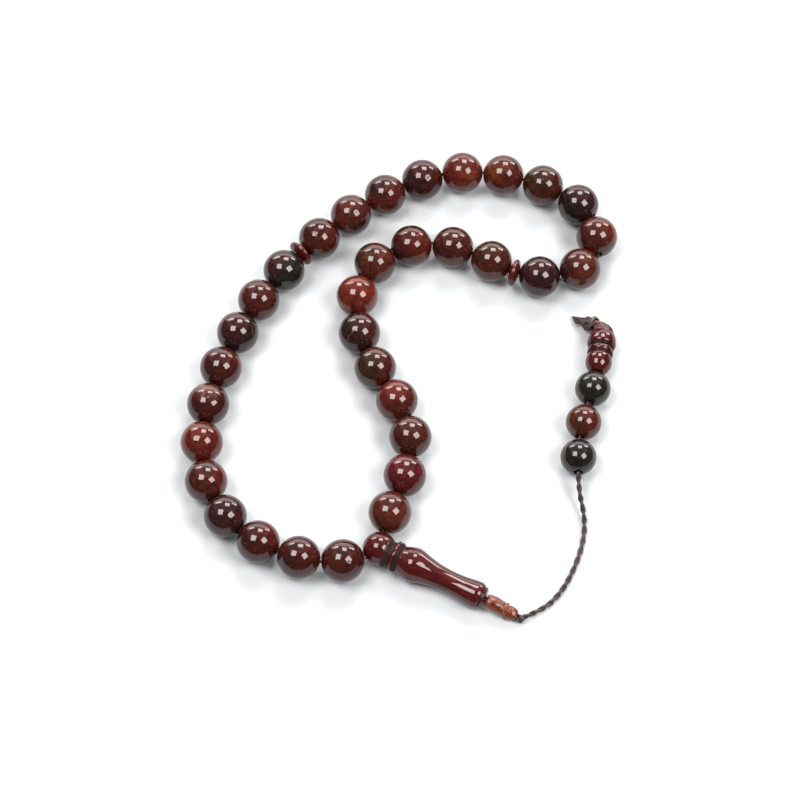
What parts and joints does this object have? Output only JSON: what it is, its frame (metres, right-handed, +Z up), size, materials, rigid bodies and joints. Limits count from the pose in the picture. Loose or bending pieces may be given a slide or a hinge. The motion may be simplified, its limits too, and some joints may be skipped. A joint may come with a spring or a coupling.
{
  "type": "misbaha prayer beads",
  "caption": "Loop of round turned beads on a string, with divider discs, a turned leader, and a corded tail of beads ending in a ringed terminal and a wrapped knot.",
  "frame": {"origin": "on the surface that the beads lie on, under the middle of the whole object's box", "axes": "+Z up, +Y along the laid string's longer side, towards the far end of the loop; +X to the side where the tail lies"},
  "size_m": [0.1041, 0.1228, 0.01],
  "materials": {
    "bead_maroon": "gloss",
    "bead_dark": "gloss",
    "bead_red": "gloss",
    "bead_brown": "gloss",
    "divider": "gloss",
    "leader": "gloss",
    "collar_bead": "gloss",
    "terminal": "gloss",
    "string": "satin",
    "cord": "satin",
    "wrap": "satin"
  },
  "bodies": {
    "string": {"leader": "leader", "loop_string": "string", "neck_knot": "cord"},
    "tail": {"tail_cord": "cord", "end_knot": "cord", "knot_wrap": "wrap", "cord_tip": "cord"},
    "tail_bead_1": {"tail_bead_1": "bead_dark"},
    "tail_bead_2": {"tail_bead_2": "bead_maroon"},
    "tail_bead_3": {"tail_bead_3": "bead_dark"},
    "terminal": {"terminal": "terminal"},
    "collar_bead": {"collar_bead": "collar_bead"},
    "divider_1": {"divider_1": "divider"},
    "divider_2": {"divider_2": "divider"},
    "counting_bead_01": {"counting_bead_01": "bead_maroon"},
    "counting_bead_02": {"counting_bead_02": "bead_dark"},
    "counting_bead_03": {"counting_bead_03": "bead_maroon"},
    "counting_bead_04": {"counting_bead_04": "bead_maroon"},
    "counting_bead_05": {"counting_bead_05": "bead_maroon"},
    "counting_bead_06": {"counting_bead_06": "bead_red"},
    "counting_bead_07": {"counting_bead_07": "bead_maroon"},
    "counting_bead_08": {"counting_bead_08": "bead_dark"},
    "counting_bead_09": {"counting_bead_09": "bead_dark"},
    "counting_bead_10": {"counting_bead_10": "bead_brown"},
    "counting_bead_11": {"counting_bead_11": "bead_dark"},
    "counting_bead_12": {"counting_bead_12": "bead_red"},
    "counting_bead_13": {"counting_bead_13": "bead_maroon"},
    "counting_bead_14": {"counting_bead_14": "bead_maroon"},
    "counting_bead_15": {"counting_bead_15": "bead_brown"},
    "counting_bead_16": {"counting_bead_16": "bead_red"},
    "counting_bead_17": {"counting_bead_17": "bead_red"},
    "counting_bead_18": {"counting_bead_18": "bead_brown"},
    "counting_bead_19": {"counting_bead_19": "bead_dark"},
    "counting_bead_20": {"counting_bead_20": "bead_maroon"},
    "counting_bead_21": {"counting_bead_21": "bead_red"},
    "counting_bead_22": {"counting_bead_22": "bead_dark"},
    "counting_bead_23": {"counting_bead_23": "bead_maroon"},
    "counting_bead_24": {"counting_bead_24": "bead_maroon"},
    "counting_bead_25": {"counting_bead_25": "bead_brown"},
    "counting_bead_26": {"counting_bead_26": "bead_brown"},
    "counting_bead_27": {"counting_bead_27": "bead_red"},
    "counting_bead_28": {"counting_bead_28": "bead_dark"},
    "counting_bead_29": {"counting_bead_29": "bead_dark"},
    "counting_bead_30": {"counting_bead_30": "bead_red"},
    "counting_bead_31": {"counting_bead_31": "bead_brown"},
    "counting_bead_32": {"counting_bead_32": "bead_maroon"},
    "counting_bead_33": {"counting_bead_33": "bead_brown"}
  },
  "joints": [
    {"name": "tail_swing", "type": "hinge", "parent": "string", "child": "tail", "pos_m": [0.02669, -0.06051, 0.0012], "axis": [0, 0, 1], "range_deg": [-60, 30]},
    {"name": "tail_bead_1_slide", "type": "slide", "parent": "tail", "child": "tail_bead_1", "axis": [-0.0416, -0.9991, 0], "range_m": [0, 0.0025]},
    {"name": "tail_bead_2_spin", "type": "hinge", "parent": "tail", "child": "tail_bead_2", "pos_m": [0.04232, -0.01209, 0.00425], "axis": [0.2704, 0.9627, 0], "continuous": true},
    {"name": "tail_bead_3_spin", "type": "hinge", "parent": "tail", "child": "tail_bead_3", "pos_m": [0.04477, -0.0032, 0.00425], "axis": [0.2604, 0.9655, 0], "continuous": true},
    {"name": "terminal_spin", "type": "hinge", "parent": "tail", "child": "terminal", "pos_m": [0.04704, 0.00763, 0.00368], "axis": [0.1696, 0.9819, -0.0845], "continuous": true},
    {"name": "collar_bead_spin", "type": "hinge", "parent": "string", "child": "collar_bead", "pos_m": [0.02222, -0.0583, 0.00226], "axis": [0.8769, -0.4334, -0.2079], "continuous": true},
    {"name": "divider_1_spin", "type": "hinge", "parent": "string", "child": "divider_1", "pos_m": [-0.02488, 0.03327, 0.005], "axis": [0.6825, 0.7308, 0], "continuous": true},
    {"name": "divider_2_spin", "type": "hinge", "parent": "string", "child": "divider_2", "pos_m": [0.02678, 0.02787, 0.005], "axis": [-0.9373, 0.3486, 0], "continuous": true},
    {"name": "bead_01_spin", "type": "hinge", "parent": "string", "child": "counting_bead_01", "pos_m": [-0.01389, -0.04783, 0.005], "axis": [-0.9953, -0.0973, 0], "continuous": true},
    {"name": "bead_02_spin", "type": "hinge", "parent": "string", "child": "counting_bead_02", "pos_m": [-0.02396, -0.04697, 0.005], "axis": [-0.9646, 0.2638, 0], "continuous": true},
    {"name": "bead_03_spin", "type": "hinge", "parent": "string", "child": "counting_bead_03", "pos_m": [-0.0333, -0.04311, 0.005], "axis": [-0.8694, 0.4941, 0], "continuous": true},
    {"name": "bead_04_spin", "type": "hinge", "parent": "string", "child": "counting_bead_04", "pos_m": [-0.04104, -0.03662, 0.005], "axis": [-0.6377, 0.7703, 0], "continuous": true},
    {"name": "bead_05_spin", "type": "hinge", "parent": "string", "child": "counting_bead_05", "pos_m": [-0.04577, -0.02772, 0.005], "axis": [-0.2823, 0.9593, 0], "continuous": true},
    {"name": "bead_06_spin", "type": "hinge", "parent": "string", "child": "counting_bead_06", "pos_m": [-0.04711, -0.01771, 0.005], "axis": [0.0192, 0.9998, 0], "continuous": true},
    {"name": "bead_07_spin", "type": "hinge", "parent": "string", "child": "counting_bead_07", "pos_m": [-0.04595, -0.00767, 0.005], "axis": [0.2111, 0.9775, 0], "continuous": true},
    {"name": "bead_08_spin", "type": "hinge", "parent": "string", "child": "counting_bead_08", "pos_m": [-0.04324, 0.00206, 0.005], "axis": [0.3244, 0.9459, 0], "continuous": true},
    {"name": "bead_09_spin", "type": "hinge", "parent": "string", "child": "counting_bead_09", "pos_m": [-0.0395, 0.01144, 0.005], "axis": [0.414, 0.9103, 0], "continuous": true},
    {"name": "bead_10_spin", "type": "hinge", "parent": "string", "child": "counting_bead_10", "pos_m": [-0.03472, 0.02034, 0.005], "axis": [0.5305, 0.8477, 0], "continuous": true},
    {"name": "bead_11_spin", "type": "hinge", "parent": "string", "child": "counting_bead_11", "pos_m": [-0.02881, 0.02853, 0.005], "axis": [0.6382, 0.7698, 0], "continuous": true},
    {"name": "bead_12_spin", "type": "hinge", "parent": "string", "child": "counting_bead_12", "pos_m": [-0.02041, 0.03752, 0.005], "axis": [0.7245, 0.6893, 0], "continuous": true},
    {"name": "bead_13_spin", "type": "hinge", "parent": "string", "child": "counting_bead_13", "pos_m": [-0.01277, 0.04412, 0.005], "axis": [0.7866, 0.6174, 0], "continuous": true},
    {"name": "bead_14_spin", "type": "hinge", "parent": "string", "child": "counting_bead_14", "pos_m": [-0.00444, 0.04983, 0.005], "axis": [0.8601, 0.5102, 0], "continuous": true},
    {"name": "bead_15_spin", "type": "hinge", "parent": "string", "child": "counting_bead_15", "pos_m": [0.00468, 0.05417, 0.005], "axis": [0.9384, 0.3455, 0], "continuous": true},
    {"name": "bead_16_spin", "type": "hinge", "parent": "string", "child": "counting_bead_16", "pos_m": [0.01456, 0.05622, 0.005], "axis": [0.9984, 0.0563, 0], "continuous": true},
    {"name": "bead_17_spin", "type": "hinge", "parent": "string", "child": "counting_bead_17", "pos_m": [0.02464, 0.0555, 0.005], "axis": [0.9804, -0.1969, 0], "continuous": true},
    {"name": "bead_18_spin", "type": "hinge", "parent": "string", "child": "counting_bead_18", "pos_m": [0.03431, 0.05256, 0.005], "axis": [0.9235, -0.3835, 0], "continuous": true},
    {"name": "bead_19_spin", "type": "hinge", "parent": "string", "child": "counting_bead_19", "pos_m": [0.04279, 0.04704, 0.005], "axis": [0.724, -0.6898, 0], "continuous": true},
    {"name": "bead_20_spin", "type": "hinge", "parent": "string", "child": "counting_bead_20", "pos_m": [0.04703, 0.03791, 0.005], "axis": [0.045, -0.999, 0], "continuous": true},
    {"name": "bead_21_spin", "type": "hinge", "parent": "string", "child": "counting_bead_21", "pos_m": [0.04266, 0.02893, 0.005], "axis": [-0.8114, -0.5846, 0], "continuous": true},
    {"name": "bead_22_spin", "type": "hinge", "parent": "string", "child": "counting_bead_22", "pos_m": [0.03286, 0.02677, 0.005], "axis": [-0.9841, 0.1778, 0], "continuous": true},
    {"name": "bead_23_spin", "type": "hinge", "parent": "string", "child": "counting_bead_23", "pos_m": [0.02134, 0.03108, 0.005], "axis": [-0.8611, 0.5085, 0], "continuous": true},
    {"name": "bead_24_spin", "type": "hinge", "parent": "string", "child": "counting_bead_24", "pos_m": [0.01206, 0.035, 0.005], "axis": [-0.9654, 0.2607, 0], "continuous": true},
    {"name": "bead_25_spin", "type": "hinge", "parent": "string", "child": "counting_bead_25", "pos_m": [0.00197, 0.0354, 0.005], "axis": [-0.9831, -0.1829, 0], "continuous": true},
    {"name": "bead_26_spin", "type": "hinge", "parent": "string", "child": "counting_bead_26", "pos_m": [-0.00686, 0.03057, 0.005], "axis": [-0.6793, -0.7338, 0], "continuous": true},
    {"name": "bead_27_spin", "type": "hinge", "parent": "string", "child": "counting_bead_27", "pos_m": [-0.01109, 0.02143, 0.005], "axis": [-0.1267, -0.9919, 0], "continuous": true},
    {"name": "bead_28_spin", "type": "hinge", "parent": "string", "child": "counting_bead_28", "pos_m": [-0.01047, 0.01134, 0.005], "axis": [0.2458, -0.9693, 0], "continuous": true},
    {"name": "bead_29_spin", "type": "hinge", "parent": "string", "child": "counting_bead_29", "pos_m": [-0.00668, 0.00199, 0.005], "axis": [0.4988, -0.8667, 0], "continuous": true},
    {"name": "bead_30_spin", "type": "hinge", "parent": "string", "child": "counting_bead_30", "pos_m": [-0.00155, -0.00671, 0.005], "axis": [0.5156, -0.8568, 0], "continuous": true},
    {"name": "bead_31_spin", "type": "hinge", "parent": "string", "child": "counting_bead_31", "pos_m": [0.00163, -0.01624, 0.005], "axis": [0.0969, -0.9953, 0], "continuous": true},
    {"name": "bead_32_spin", "type": "hinge", "parent": "string", "child": "counting_bead_32", "pos_m": [0.00032, -0.02621, 0.005], "axis": [-0.3446, -0.9387, 0], "continuous": true},
    {"name": "bead_33_spin", "type": "hinge", "parent": "string", "child": "counting_bead_33", "pos_m": [-0.00312, -0.03571, 0.005], "axis": [-0.3376, -0.9413, 0], "continuous": true}
  ]
}
